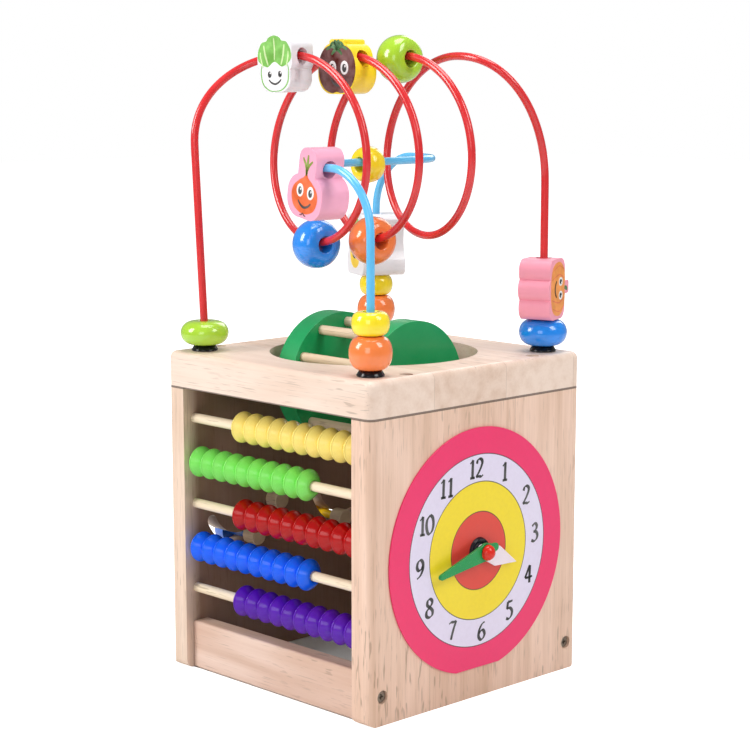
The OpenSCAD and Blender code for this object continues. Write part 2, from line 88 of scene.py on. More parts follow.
class Nodes:
    """Short way to build a material's node tree."""

    def __init__(self, name):
        self.mat = bpy.data.materials.new(name)
        self.mat.use_nodes = True
        self.nt = self.mat.node_tree
        self.nt.nodes.clear()
        self.out = self.nt.nodes.new("ShaderNodeOutputMaterial")
        self.bsdf = self.nt.nodes.new("ShaderNodeBsdfPrincipled")
        self.nt.links.new(self.bsdf.outputs[0], self.out.inputs[0])

    def add(self, kind, **inputs):
        node = self.nt.nodes.new("ShaderNode" + kind)
        for key, value in inputs.items():
            if key.startswith("p_"):
                setattr(node, key[2:], value)
        for key, value in inputs.items():
            if not key.startswith("p_"):
                self.put(node, int(key[1:]) if key[0] == "i" and key[1:].isdigit() else key, value)
        return node

    def put(self, node, key, value):
        socket = node.inputs[key]
        if isinstance(value, bpy.types.NodeSocket):
            self.nt.links.new(value, socket)
        else:
            socket.default_value = value

    def math(self, op, a, b=0.0, clamp=False):
        return self.add("Math", p_operation=op, p_use_clamp=clamp, i0=a, i1=b).outputs[0]

    def mix(self, factor, a, b, blend="MIX"):
        node = self.nt.nodes.new("ShaderNodeMix")
        node.data_type = "RGBA"
        node.blend_type = blend
        self.put(node, 0, factor)
        self.put(node, 6, a)
        self.put(node, 7, b)
        return node.outputs[2]

    def ramp(self, value, low, high, a=0.0, b=1.0):
        return self.add("MapRange", i0=value, i1=low, i2=high, i3=a, i4=b).outputs[0]

    def noise(self, vector, scale, detail=2.0, rough=0.5):
        node = self.add("TexNoise", Vector=vector, Scale=scale, Detail=detail, Roughness=rough)
        return node.outputs[0]

    def shader(self, **values):
        for key, value in values.items():
            self.put(self.bsdf, key.replace("_", " "), value)

    def bump(self, height, strength, distance):
        node = self.add("Bump", Strength=strength, Distance=distance, Height=height)
        self.put(self.bsdf, "Normal", node.outputs[0])


def rgba(c, k=1.0):
    return (c[0] * k, c[1] * k, c[2] * k, 1.0)


def wood(name, grain, across, light, dark, strip=0.045, seed=0.0, ring=0.35, fibre=0.5, rough=0.42,
         edge=0.0, inner=0.0, seam_shade=0.0):
    """Lacquered wood. grain is the axis (0 to 2) that the fibres follow, across the axis the glued
    strips are laid along, strip their width in metres, edge an offset of the first joint, inner how
    far faces inside the cube turn to a dark brown painted shade, seam_shade how dark the painted shade
    line under the top board is."""
    n = Nodes(name)
    pos = n.add("TexCoord").outputs["Object"]
    axis = n.add("SeparateXYZ", Vector=pos).outputs
    third = 3 - grain - across
    lane = n.math("DIVIDE", n.math("ADD", axis[across], 1.0 + edge), strip)
    cell = n.math("FLOOR", lane)
    joint = n.math("LESS_THAN", n.math("FRACT", lane), GLUE_LINE / strip)
    chance = n.add("TexWhiteNoise", p_noise_dimensions="1D", W=n.math("ADD", cell, seed)).outputs[0]
    jump = n.math("MULTIPLY", chance, 7.0)
    along = n.math("ADD", axis[grain], jump)
    side = n.math("ADD", axis[across], jump)

    def vector(k_side, k_third, k_along):
        return n.add("CombineXYZ", X=n.math("MULTIPLY", side, k_side),
                     Y=n.math("MULTIPLY", axis[third], k_third),
                     Z=n.math("MULTIPLY", along, k_along)).outputs[0]

    figure = n.noise(vector(14, 10, 2.2), 1.0, 2.5, 0.55)
    rings = n.ramp(n.math("SINE", n.math("MULTIPLY", figure, 62.0)), -1.0, 1.0)
    fibres = n.noise(vector(620, 620, 16), 1.0, 3.0, 0.6)
    streaks = n.noise(vector(150, 150, 3.5), 1.0, 2.0, 0.5)
    pores = n.ramp(n.noise(vector(1500, 1500, 55), 1.0, 1.0, 0.4), 0.64, 0.72)
    blotch = n.noise(pos, 16.0, 2.0, 0.5)
    dashes = n.math("MULTIPLY", n.ramp(n.noise(vector(640, 640, 80), 1.0, 1.0, 0.35), 0.63, 0.69),
                    n.ramp(n.noise(pos, 13.0, 2.0, 0.6), 0.46, 0.62))
    normal = n.add("SeparateXYZ", Vector=n.add("TexCoord").outputs["Normal"]).outputs[grain]
    long_grain = n.ramp(n.math("ABSOLUTE", normal), 0.55, 0.85, 1.0, 0.12)
    dashes = n.math("MULTIPLY", dashes, long_grain)
    pores = n.math("MULTIPLY", pores, long_grain)
    amount = n.math("ADD", n.math("MULTIPLY", rings, ring * 0.5),
                    n.math("MULTIPLY", n.ramp(fibres, 0.35, 0.75), fibre * 0.42))
    amount = n.math("ADD", amount, n.math("MULTIPLY", n.ramp(streaks, 0.42, 0.78), fibre * 0.75))
    amount = n.math("ADD", amount, n.math("MULTIPLY", n.ramp(blotch, 0.35, 0.75), 0.14))
    amount = n.math("ADD", amount, n.ramp(chance, 0.0, 1.0, -0.10, 0.16), clamp=True)
    colour = n.mix(amount, rgba(light), rgba(dark))
    colour = n.mix(n.math("MULTIPLY", pores, 0.34), colour, rgba(dark, 0.42))
    colour = n.mix(n.math("MULTIPLY", dashes, 0.55), colour, rgba(dark, 0.50))
    colour = n.mix(n.math("MULTIPLY", joint, 0.5), colour, rgba(dark, 0.45))
    centred = n.add("VectorMath", p_operation="SUBTRACT", i0=pos, i1=tuple(SHIFT * MM)).outputs[0]
    out = n.add("SeparateXYZ", Vector=n.add("VectorMath", p_operation="ABSOLUTE",
                                            i0=centred).outputs[0]).outputs
    # painted shade: a thin dark band along the joint under the top board, standing in for its contact shadow
    seam_shadow_line = n.math("LESS_THAN", n.math("ABSOLUTE", n.math("SUBTRACT", axis[2], SEAM_Z)), SEAM_HALF)
    colour = n.mix(n.math("MULTIPLY", seam_shadow_line, seam_shade), colour, rgba(dark, 0.12))
    # painted shade: faces inside the cube, below the top board, darken to a brown tone standing in for the
    # shade in there
    inside_shade = n.ramp(n.math("MAXIMUM", out[0], out[1]), (HALF - INSIDE_SHADE_FULL) * MM, (HALF - INSIDE_SHADE_FROM) * MM, 1.0, 0.0)
    inside_shade = n.math("MULTIPLY", inside_shade, n.math("LESS_THAN", axis[2], SEAM_Z))
    colour = n.mix(n.math("MULTIPLY", inside_shade, inner), colour, rgba(INSIDE_SHADE_TONE))
    n.shader(Base_Color=colour, Roughness=n.ramp(fibres, 0.3, 0.8, rough - 0.04, rough + 0.08),
             Coat_Weight=0.18, Coat_Roughness=0.22, Specular_IOR_Level=0.4)
    grain_height = n.math("SUBTRACT", fibres, n.math("MULTIPLY", pores, 0.8))
    n.bump(grain_height, 0.12, 0.00012)
    return n.mat


def paint(name, colour, rough=0.22, coat=0.5, vary=0.05, bump=0.03, scale=38.0, gloss=0.5):
    """Sprayed or dipped paint with slight clouds of colour and a soft ripple."""
    n = Nodes(name)
    pos = n.add("TexCoord").outputs["Object"]
    cloud = n.noise(pos, scale, 3.0, 0.55)
    fine = n.noise(pos, 900.0, 2.0, 0.5)
    tone = n.mix(n.ramp(cloud, 0.3, 0.7), rgba(colour, 1 - vary),
                 rgba([c + vary * 0.35 * (1 - c) for c in colour], 1 + vary))
    n.shader(Base_Color=tone, Roughness=n.ramp(fine, 0.3, 0.7, rough - 0.03, rough + 0.05),
             Coat_Weight=coat, Coat_Roughness=0.06, Specular_IOR_Level=gloss)
    n.bump(n.math("ADD", n.math("MULTIPLY", cloud, 0.6), n.math("MULTIPLY", fine, 0.25)), bump, 0.0006)
    return n.mat


def plastic(name, colour, rough=0.3, sub=0.0):
    """Moulded plastic with flow clouds, a fine orange-peel skin and faint scuffs."""
    n = Nodes(name)
    pos = n.add("TexCoord").outputs["Object"]
    flow = n.noise(pos, 60.0, 2.0, 0.5)
    skin = n.noise(pos, 1400.0, 1.0, 0.5)
    scuff = n.ramp(n.noise(pos, 420.0, 5.0, 0.8), 0.62, 0.72)
    tone = n.mix(n.ramp(flow, 0.3, 0.7), rgba(colour, 0.94), rgba(colour, 1.04))
    n.shader(Base_Color=tone, Roughness=n.math("ADD", n.ramp(skin, 0.3, 0.7, rough - 0.03, rough + 0.04),
                                               n.math("MULTIPLY", scuff, 0.14)),
             Coat_Weight=0.12, Coat_Roughness=0.12, Specular_IOR_Level=0.35, Subsurface_Weight=sub,
             Subsurface_Radius=(0.004, 0.003, 0.002), Subsurface_Scale=0.6)
    n.bump(skin, 0.04, 0.0002)
    return n.mat


def metal(name, colour, rough):
    """Metal with a grimy, uneven surface."""
    n = Nodes(name)
    pos = n.add("TexCoord").outputs["Object"]
    grime = n.noise(pos, 700.0, 4.0, 0.7)
    n.shader(Base_Color=n.mix(n.ramp(grime, 0.35, 0.7), rgba(colour, 0.55), rgba(colour, 1.2)), Metallic=1.0,
             Roughness=n.ramp(grime, 0.3, 0.7, rough - 0.1, rough + 0.15))
    n.bump(grime, 0.25, 0.0002)
    return n.mat


DIAL_CENTRE = place((HALF, DIAL_Y, DIAL_Z))
PINK, RING_WHITE = (0.88, 0.022, 0.14), (0.78, 0.72, 0.90)
DIAL_YELLOW, DIAL_RED = (0.93, 0.72, 0.015), (0.76, 0.055, 0.035)
INK = (0.012, 0.010, 0.012)
DIAL_RINGS = ((0.0235, DIAL_YELLOW), (0.0415, RING_WHITE), (0.058, PINK))
RING_LINE = 0.00028


def dial(name):
    """Printed dial: coloured rings about its centre with thin dark outlines and a paper sheen."""
    n = Nodes(name)
    pos = n.add("TexCoord").outputs["Object"]
    from_centre = n.add("VectorMath", p_operation="SUBTRACT", i0=pos, i1=tuple(DIAL_CENTRE)).outputs[0]
    flat = n.add("VectorMath", p_operation="MULTIPLY", i0=from_centre, i1=(0.0, 1.0, 1.0)).outputs[0]
    radius = n.add("VectorMath", p_operation="LENGTH", i0=flat).outputs["Value"]
    fibre = n.noise(pos, 420.0, 3.0, 0.6)
    cloud = n.noise(pos, 24.0, 2.0, 0.5)
    colour = rgba(DIAL_RED)
    for edge, tone in DIAL_RINGS:
        colour = n.mix(n.math("GREATER_THAN", radius, edge), colour, rgba(tone))
        line = n.math("LESS_THAN", n.math("ABSOLUTE", n.math("SUBTRACT", radius, edge)), RING_LINE)
        colour = n.mix(n.math("MULTIPLY", line, 0.9), colour, rgba(INK))
    colour = n.mix(n.ramp(cloud, 0.3, 0.7, 0.0, 0.10), colour, rgba((1, 1, 1)), "SOFT_LIGHT")
    colour = n.mix(n.ramp(fibre, 0.3, 0.7, 0.0, 0.05), colour, rgba((0.2, 0.1, 0.1)))
    n.shader(Base_Color=colour, Roughness=n.ramp(fibre, 0.3, 0.7, 0.34, 0.44), Coat_Weight=0.12,
             Coat_Roughness=0.25)
    n.bump(fibre, 0.05, 0.0001)
    return n.mat


CREAM, TAN = (0.86, 0.68, 0.55), (0.61, 0.40, 0.265)
# the panels' wood paints shade: a dark brown inside the cube and a dark line under the top board
MATERIALS = {
    "wood_top": wood("top_wood", 0, 1, (0.88, 0.71, 0.60), (0.66, 0.45, 0.33), strip=0.061, seed=3.0,
                     ring=0.45, fibre=0.45, edge=0.021, seam_shade=0.8),
    "wood_clock": wood("clock_side_wood", 2, 1, (0.91, 0.66, 0.53), (0.60, 0.37, 0.24), strip=0.072,
                       seed=11.0, ring=0.32, fibre=0.6, edge=0.05575, inner=0.8, seam_shade=0.8),
    "wood_track": wood("track_side_wood", 2, 1, CREAM, TAN, strip=0.058, seed=23.0, fibre=0.55, edge=0.031,
                       inner=0.8, seam_shade=0.8),
    "wood_back": wood("back_side_wood", 2, 0, CREAM, TAN, strip=0.052, seed=37.0, fibre=0.5, edge=0.012,
                      inner=0.8, seam_shade=0.8),
    "wood_rail": wood("rail_wood", 0, 2, (0.88, 0.68, 0.58), (0.64, 0.41, 0.30), strip=0.2, seed=5.0,
                      ring=0.9, fibre=0.4, edge=0.1),
    "wood_rods": wood("rod_wood", 0, 2, (0.93, 0.80, 0.60), (0.76, 0.58, 0.36), strip=0.0269, seed=7.0,
                      ring=0.12, fibre=0.35, edge=0.0135),
    "wood_bars": wood("bar_wood", 0, 2, (0.90, 0.74, 0.54), (0.66, 0.46, 0.28), strip=0.012, seed=9.0,
                      ring=0.15, fibre=0.45),
    "wood_axle": wood("axle_wood", 0, 2, (0.84, 0.68, 0.48), (0.60, 0.42, 0.26), strip=0.3, seed=2.0,
                      ring=0.2, fibre=0.45),
    "wood_caps": wood("cap_wood", 0, 1, (0.80, 0.62, 0.43), (0.56, 0.37, 0.22), strip=0.04, seed=19.0,
                      ring=0.3, fibre=0.45),
    "wood_pins": wood("pin_wood", 1, 0, (0.86, 0.70, 0.50), (0.62, 0.43, 0.26), strip=0.03, seed=29.0,
                      ring=0.2, fibre=0.4),
    "screw_steel": metal("screw_metal", (0.30, 0.25, 0.20), 0.42),
    "abacus_yellow": plastic("abacus_yellow", (1.0, 0.80, 0.21), 0.25, 0.05),
    "abacus_green": plastic("abacus_green", (0.23, 0.82, 0.13), 0.24, 0.04),
    "abacus_red": plastic("abacus_red", (0.50, 0.001, 0.001), 0.17),
    "abacus_blue": plastic("abacus_blue", (0.003, 0.14, 1.0), 0.22),
    "abacus_purple": plastic("abacus_purple", (0.11, 0.006, 0.46), 0.22),
    "dial_print": dial("dial_print"),
    "spacer_black": plastic("spacer_black", (0.010, 0.009, 0.016), 0.22),
    "hand_white": plastic("hand_white", (0.86, 0.76, 0.83), 0.30, 0.1),
    "hand_green": plastic("hand_green", (0.008, 0.30, 0.075), 0.24, 0.05),
    "pin_red": plastic("pin_red", (0.74, 0.022, 0.010), 0.18, 0.05),
    "drum_green": paint("drum_green", (0.004, 0.37, 0.11), 0.32, 0.25, 0.06, 0.015, gloss=0.3),
    "wire_red": paint("wire_red", (0.70, 0.016, 0.020), 0.20, 0.45, 0.05, 0.02),
    "wire_blue": paint("wire_blue", (0.12, 0.54, 0.93), 0.20, 0.45, 0.05, 0.02),
    "collar_black": plastic("collar_black", (0.006, 0.006, 0.009), 0.16),
    "bead_lime": paint("bead_lime", (0.40, 0.68, 0.028), 0.18, 0.7, 0.05),
    "bead_blue": paint("bead_blue", (0.0, 0.25, 0.88), 0.16, 0.7, 0.06),
    "bead_orange": paint("bead_orange", (0.97, 0.23, 0.045), 0.17, 0.7, 0.05),
    "bead_yellow": paint("bead_yellow", (1.0, 0.78, 0.003), 0.16, 0.7, 0.04),
    "block_pumpkin": paint("block_pumpkin", (0.98, 0.36, 0.48), 0.36, 0.25, 0.05, 0.05),
    "block_pear": paint("block_pear", (0.86, 0.85, 0.89), 0.36, 0.25, 0.04, 0.05),
    "block_cabbage": paint("block_cabbage", (0.86, 0.85, 0.89), 0.36, 0.25, 0.04, 0.05),
    "block_tomato": paint("block_tomato", (1.0, 0.73, 0.012), 0.32, 0.3, 0.04, 0.05),
    "block_onion": paint("block_onion", (0.93, 0.40, 0.56), 0.36, 0.25, 0.05, 0.05),
    "knob_blue": paint("knob_blue", (0.005, 0.13, 0.64), 0.18, 0.7, 0.06),
    "knob_red": paint("knob_red", (0.70, 0.015, 0.014), 0.18, 0.7, 0.05),
    "knob_yellow": paint("knob_yellow", (1.0, 0.66, 0.004), 0.18, 0.7, 0.04),
    "gear_red": paint("gear_red", (0.72, 0.030, 0.022), 0.30, 0.35, 0.06, 0.04),
    "gear_yellow": paint("gear_yellow", (1.0, 0.62, 0.006), 0.30, 0.35, 0.05, 0.04),
    "gear_green": paint("gear_green", (0.03, 0.38, 0.07), 0.30, 0.35, 0.06, 0.04),
    "gear_blue": paint("gear_blue", (0.010, 0.19, 0.66), 0.30, 0.35, 0.06, 0.04),
}
PRINT = {
    "ink": paint("print_ink", (0.003, 0.0025, 0.003), 0.6, 0.0, 0.3, gloss=0.1),
    "white": paint("print_white", (0.90, 0.90, 0.90), 0.35, 0.1, 0.03),
    "leaf": paint("print_leaf", (0.16, 0.50, 0.04), 0.35, 0.1, 0.22, scale=160.0),
    "leaf_dark": paint("print_leaf_dark", (0.020, 0.155, 0.022), 0.35, 0.1, 0.25, scale=200.0),
    "vein": paint("print_vein", (0.62, 0.82, 0.38), 0.35, 0.1, 0.15, scale=160.0),
    "tomato": paint("print_tomato", (0.105, 0.006, 0.003), 0.45, 0.0, 0.3, scale=120.0, gloss=0.15),
    "onion": paint("print_onion", (0.83, 0.125, 0.012), 0.32, 0.2, 0.16, scale=130.0),
    "pumpkin": paint("print_pumpkin", (0.93, 0.30, 0.012), 0.32, 0.2, 0.14, scale=130.0),
    "pear": paint("print_pear", (0.94, 0.62, 0.010), 0.32, 0.2, 0.12, scale=130.0),
    "sprout": paint("print_sprout", (0.22, 0.30, 0.02), 0.35, 0.1, 0.2, scale=160.0),
}

# ------------------------------------------------------------------ mesh helpers


def finish_mesh(name, mesh, material, body, nodes=()):
    """Turns a mesh that is already in the row frame into a piece on its body."""
    obj = bpy.data.objects.new(name, mesh)
    bpy.context.collection.objects.link(obj)
    mesh.materials.clear()
    mesh.materials.append(material)
    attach(obj, body)
    if nodes:
        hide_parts(*nodes)
    return obj


def mesh_from(name, parts, smooth=True):
    """One mesh from (vertices, faces) parts; vertices are row-frame metres."""
    verts, faces = [], []
    for pv, pf in parts:
        base = len(verts)
        verts += [tuple(v) for v in pv]
        faces += [tuple(i + base for i in f) for f in pf]
    mesh = bpy.data.meshes.new(name)
    mesh.from_pydata(verts, [], faces)
    bm = bmesh.new()
    bm.from_mesh(mesh)
    bmesh.ops.recalc_face_normals(bm, faces=bm.faces)
    bm.to_mesh(mesh)
    bm.free()
    for p in mesh.polygons:
        p.use_smooth = smooth
    return mesh


def sharpen(mesh, degrees):
    """Marks edges sharper than the angle, so that smooth shading stops at them."""
    bm = bmesh.new()
    bm.from_mesh(mesh)
    limit = math.radians(degrees)
    for e in bm.edges:
        e.smooth = len(e.link_faces) == 2 and e.calc_face_angle(0.0) < limit
    bm.to_mesh(mesh)
    bm.free()


def from_cad(node, radius, segments=3, angle=32):
    """The CAD node's own shape, welded, with its hard edges rounded by radius (mm)."""
    mesh = frame["nodes"][node].data.copy()
    mesh.name = node + "_shape"
    bm = bmesh.new()
    bm.from_mesh(mesh)
    bmesh.ops.remove_doubles(bm, verts=bm.verts, dist=2e-6)
    bmesh.ops.dissolve_limit(bm, angle_limit=math.radians(0.6), verts=bm.verts, edges=bm.edges)
    bmesh.ops.recalc_face_normals(bm, faces=bm.faces)
    for f in bm.faces:
        f.smooth = True
    bm.to_mesh(mesh)
    bm.free()
    for name in ("custom_normal", "sharp_edge", "sharp_face"):
        if name in mesh.attributes:
            mesh.attributes.remove(mesh.attributes[name])
    obj = finish_mesh(node + "_shape", mesh, MATERIALS[SLOT_OF[node]], BODY_OF[node], [node])
    mod = obj.modifiers.new("round", "BEVEL")
    mod.width = radius * MM
    mod.segments = segments
    mod.limit_method = "ANGLE"
    mod.angle_limit = math.radians(angle)
    mod.harden_normals = True
    mod.use_clamp_overlap = True
    mod.loop_slide = False


def lathe(profile, matrix, segments=72):
    """Turns the closed (radius, height) profile about local Z; matrix maps local mm to cube mm."""
    n = len(profile)
    verts = [place(matrix @ Vector((r * math.cos(a), r * math.sin(a), z)))
             for a in (2 * math.pi * k / segments for k in range(segments)) for r, z in profile]
    faces = [(k * n + i, k * n + (i + 1) % n, (k + 1) % segments * n + (i + 1) % n,
              (k + 1) % segments * n + i)
             for k in range(segments) for i in range(n)]
    return verts, faces


def sweep(path, radius, sides=28):
    """Round tube along a path of cube-frame points, closed at both ends."""
    rings, verts, faces = len(path), [], []
    tangent = [(path[min(i + 1, rings - 1)] - path[max(i - 1, 0)]).normalized() for i in range(rings)]
    normal = tangent[0].orthogonal().normalized()
    for i, p in enumerate(path):
        normal = (normal - tangent[i] * normal.dot(tangent[i])).normalized()
        other = tangent[i].cross(normal)
        for k in range(sides):
            a = 2 * math.pi * k / sides
            verts.append(place(p + radius * (math.cos(a) * normal + math.sin(a) * other)))
    for i in range(rings - 1):
        for k in range(sides):
            j = (k + 1) % sides
            faces.append((i * sides + k, i * sides + j, (i + 1) * sides + j, (i + 1) * sides + k))
    faces.append(tuple(range(sides)))
    faces.append(tuple((rings - 1) * sides + k for k in range(sides)))
    return verts, faces


def plate(outline, matrix, thick):
    """Flat piece: outline in the local XZ plane, standing thick proud of it towards local -Y."""
    n = len(outline)
    front = [place(matrix @ Vector((x, -thick, z))) for x, z in outline]
    back = [place(matrix @ Vector((x, 0.05, z))) for x, z in outline]
    faces = [tuple(range(n)), tuple(reversed(range(n, 2 * n)))]
    faces += [(i, (i + 1) % n, n + (i + 1) % n, n + i) for i in range(n)]
    return front + back, faces


def closed_curve(points, steps=8):
    """Smooth closed outline through the points (Catmull-Rom)."""
    out, n = [], len(points)
    for i in range(n):
        p0, p1, p2, p3 = (Vector(points[(i + k - 1) % n]) for k in range(4))
        for s in range(steps):
            t = s / steps
            out.append(0.5 * ((2 * p1) + (p2 - p0) * t + (2 * p0 - 5 * p1 + 4 * p2 - p3) * t * t
                              + (3 * p1 - p0 - 3 * p2 + p3) * t * t * t))
    return [(v.x, v.y) for v in out]


def open_curve(points, steps=8):
    """Smooth line through the points (Catmull-Rom)."""
    pts = [Vector(points[0])] + [Vector(p) for p in points] + [Vector(points[-1])]
    out = []
    for i in range(1, len(pts) - 2):
        p0, p1, p2, p3 = pts[i - 1:i + 3]
        for s in range(steps):
            t = s / steps
            out.append(0.5 * ((2 * p1) + (p2 - p0) * t + (2 * p0 - 5 * p1 + 4 * p2 - p3) * t * t
                              + (3 * p1 - p0 - 3 * p2 + p3) * t * t * t))
    out.append(pts[-2])
    return out


def oval(x, z, rx, rz, count=28):
    return [(x + rx * math.cos(a), z + rz * math.sin(a))
            for a in (2 * math.pi * k / count for k in range(count))]


def ribbon(points, width):
    """Outline of a stroke along the points, narrower at its ends."""
    line = open_curve(points)
    left, right, taper = [], [], 0.35
    for i, p in enumerate(line):
        d = (line[min(i + 1, len(line) - 1)] - line[max(i - 1, 0)]).normalized()
        t = i / (len(line) - 1)
        w = width / 2 * (taper + (1 - taper) * math.sin(math.pi * min(max(t, 0.02), 0.98)) ** 0.6)
        side = Vector((-d.y, d.x)) * w
        left.append(p + side)
        right.append(p - side)
    return [(v.x, v.y) for v in left + right[::-1]]


# ------------------------------------------------------------------ bead maze geometry

REACH = (HALF - WIRE_INSET) * math.sqrt(2)

# The coil runs along the diagonal. Its turns are ovals that get narrower and lower towards its end.
TURNS = 3
COIL_START, COIL_PITCH, COIL_LEAD = -50.2, 33.1, 1.9
COIL_WIDE, COIL_NARROWS = 39.2, 7.3
COIL_HIGH, COIL_SHRINKS = 56.8, 3.4
COIL_DEEP, COIL_Z, COIL_RISE = 42, 322.5, 2.8


def diagonal(u, v, z):
    """Point u along the left-front to right-back diagonal, v across it."""
    k = math.sqrt(0.5)
    return Vector(((u - v) * k, (u + v) * k, z))


def coil(t):
    """Point of the coil at t degrees from its start, which is the top of its first turn."""
    s, a = t / (360 * TURNS), math.radians(t)
    swing = (COIL_WIDE - COIL_NARROWS * s) * math.sin(a + math.radians(COIL_LEAD))
    return diagonal(COIL_START + COIL_PITCH * t / 360 + swing, -COIL_DEEP * math.sin(a),
                    COIL_Z + COIL_RISE * s + (COIL_HIGH - COIL_SHRINKS * s) * math.cos(a))


def coil_dir(t):
    return (coil(t + 0.5) - coil(t - 0.5)).normalized()


def bezier(p, x):
    return (1 - x) ** 3 * p[0] + 3 * (1 - x) ** 2 * x * p[1] + 3 * (1 - x) * x * x * p[2] + x ** 3 * p[3]


LEFT_FOOT, LEFT_TOP = diagonal(-REACH, 0, BODY_H + 12), diagonal(-108.5, 0, 326)
RIGHT_TOP = diagonal(REACH, 0, 304)
LEFT_BEND = [LEFT_TOP, LEFT_TOP + 34 * (LEFT_TOP - LEFT_FOOT).normalized(), coil(0) - 41 * coil_dir(0),
             coil(0)]
RIGHT_BEND = [coil(360 * TURNS), coil(360 * TURNS) + 50 * coil_dir(360 * TURNS),
              RIGHT_TOP + Vector((0, 0, 35)), RIGHT_TOP]

# The blue wire's level part swings from side to side. Each end bends down over BLUE_BEND of its length.
SWING, BLUE_Z, BLUE_BEND_Z, BLUE_BEND = 36.0, 315.5, 280.0, 0.105


def blue_plan(s, z=BLUE_Z):
    return diagonal(-SWING * math.sin(2 * math.pi * s), -REACH * (1 - 2 * s), z)


def blue_bend(a, back):
    s = BLUE_BEND * (1 - math.cos(a))
    return blue_plan(1 - s if back else s, BLUE_BEND_Z + (BLUE_Z - BLUE_BEND_Z) * math.sin(a))


def blue_dir(s):
    return (blue_plan(s + 0.002) - blue_plan(s - 0.002)).normalized()


def soften(path, times=6):
    """Evens out small kinks where two pieces of a path meet, without moving its ends."""
    for _ in range(times):
        path = ([path[0]] + [(path[i - 1] + 2 * path[i] + path[i + 1]) / 4 for i in range(1, len(path) - 1)]
                + [path[-1]])
    return path


FOOT_Z = BODY_H - 15
red_path = ([diagonal(-REACH, 0, FOOT_Z), diagonal(-REACH, 0, BODY_H + 6)]
            + [LEFT_FOOT.lerp(LEFT_TOP, i / 30) for i in range(31)]
            + [bezier(LEFT_BEND, i / 40) for i in range(1, 40)]
            + [coil(t) for t in range(0, 360 * TURNS + 1, 3)]
            + [bezier(RIGHT_BEND, i / 40) for i in range(1, 41)]
            + [diagonal(REACH, 0, z) for z in range(300, 200, -8)] + [diagonal(REACH, 0, FOOT_Z)])
blue_path = ([diagonal(0, -REACH, z) for z in (FOOT_Z, 200, 225, 250, 265)]
             + [blue_bend(math.radians(a), False) for a in range(0, 90, 3)]
             + [blue_plan(BLUE_BEND + (1 - 2 * BLUE_BEND) * i / 110) for i in range(111)]
             + [blue_bend(math.radians(a), True) for a in range(87, -1, -3)]
             + [diagonal(0, REACH, z) for z in (265, 250, 225, 200, FOOT_Z)])
for name, path, slot in (("red_wire", soften(red_path, 3), "wire_red"),
                         ("blue_wire", soften(blue_path, 3), "wire_blue")):
    finish_mesh(name + "_tube", mesh_from(name, [sweep(path, WIRE_R)]), MATERIALS[slot], "cube", [name])


def on_wire(p, d, drop=0.0):
    """Local frame at p, drop below it, X along d, tilted only about the level sideways axis."""
    yaw = Matrix.Rotation(math.atan2(d.y, d.x), 4, "Z")
    tilt = Matrix.Rotation(-math.asin(d.z), 4, "Y")
    return Matrix.Translation(p - Vector((0, 0, drop))) @ yaw @ tilt


def on_coil(t, drop):
    return on_wire(coil(t), coil_dir(t), drop)


def on_post(u, v, z, turn=0.0):
    return Matrix.Translation(diagonal(u, v, z)) @ Matrix.Rotation(math.radians(45 + turn), 4, "Z")


LIE = Matrix.Rotation(math.radians(90), 4, "Y")


def bead_profile(d, h, bore, full):
    """Half section of a turned bead: full rim, soft lip round the bore."""
    steps, lip = 40, bore / 2 + 0.9
    outer = []
    for i in range(steps + 1):
        a = math.radians(-90 + 180 * i / steps)
        c, s = max(math.cos(a), 0.0), math.sin(a)
        outer.append((lip + (d / 2 - lip) * c ** full, h / 2 * s))
    inner = [(bore / 2 + 0.25, h / 2 - 0.12), (bore / 2, h / 2 - 0.7), (bore / 2, 0),
             (bore / 2, -h / 2 + 0.7), (bore / 2 + 0.25, -h / 2 + 0.12)]
    return outer + inner


# Beads and blocks on the upright wires stack up from the collars' tops.
STACK_Z = BODY_H + 3.6
SIDE_BEAD_H = 16.5
# node, where, diameter, height, bore, roundness (smaller is fuller)
BEADS = (
    ("bead_left_green", on_post(-REACH, 0, STACK_Z + 7.5), 29.5, 15, 7, 0.72),
    ("bead_right_blue", on_post(REACH, 0, STACK_Z + SIDE_BEAD_H / 2), 29.5, SIDE_BEAD_H, 7, 0.70),
    ("bead_front_orange", on_post(0, -REACH, STACK_Z + 9.75), 25, 19.5, 7, 0.72),
    ("bead_front_yellow", on_post(0, -REACH, STACK_Z + 26.45), 22, 13.5, 9.5, 0.70),
    ("bead_back_orange", on_post(0, REACH, STACK_Z + 9.75), 25, 19.5, 7, 0.72),
    ("bead_back_yellow", on_post(0, REACH, STACK_Z + 26.45), 22, 13.5, 9.5, 0.70),
    ("bead_coil_green", on_coil(718, 2.1) @ LIE, 28.74, 20, 10, 0.72),
    ("bead_coil_blue", on_coil(180, 1.0) @ LIE, 30, 20, 10, 0.72),
    ("bead_coil_orange", on_coil(538, 1.0) @ LIE, 29.5, 20, 10, 0.72),
    ("bead_swing_yellow", on_wire(blue_plan(0.485), blue_dir(0.485), 1.5) @ LIE, 22, 14.5, 9, 0.72),
)
for node, matrix, d, h, bore, full in BEADS:
    mesh = mesh_from(node, [lathe(bead_profile(d, h, bore, full), matrix, 96)])
    finish_mesh(node + "_turned", mesh, MATERIALS[SLOT_OF[node]], BODY_OF[node], [node])

# ------------------------------------------------------------------ abacus

ROD_Y, ROD_LOW, ROD_GAP, PITCH, ROW_END = -HALF + 9, 51.0, 26.9, 10.9, 75 - 0.2
PER_ROW = 10


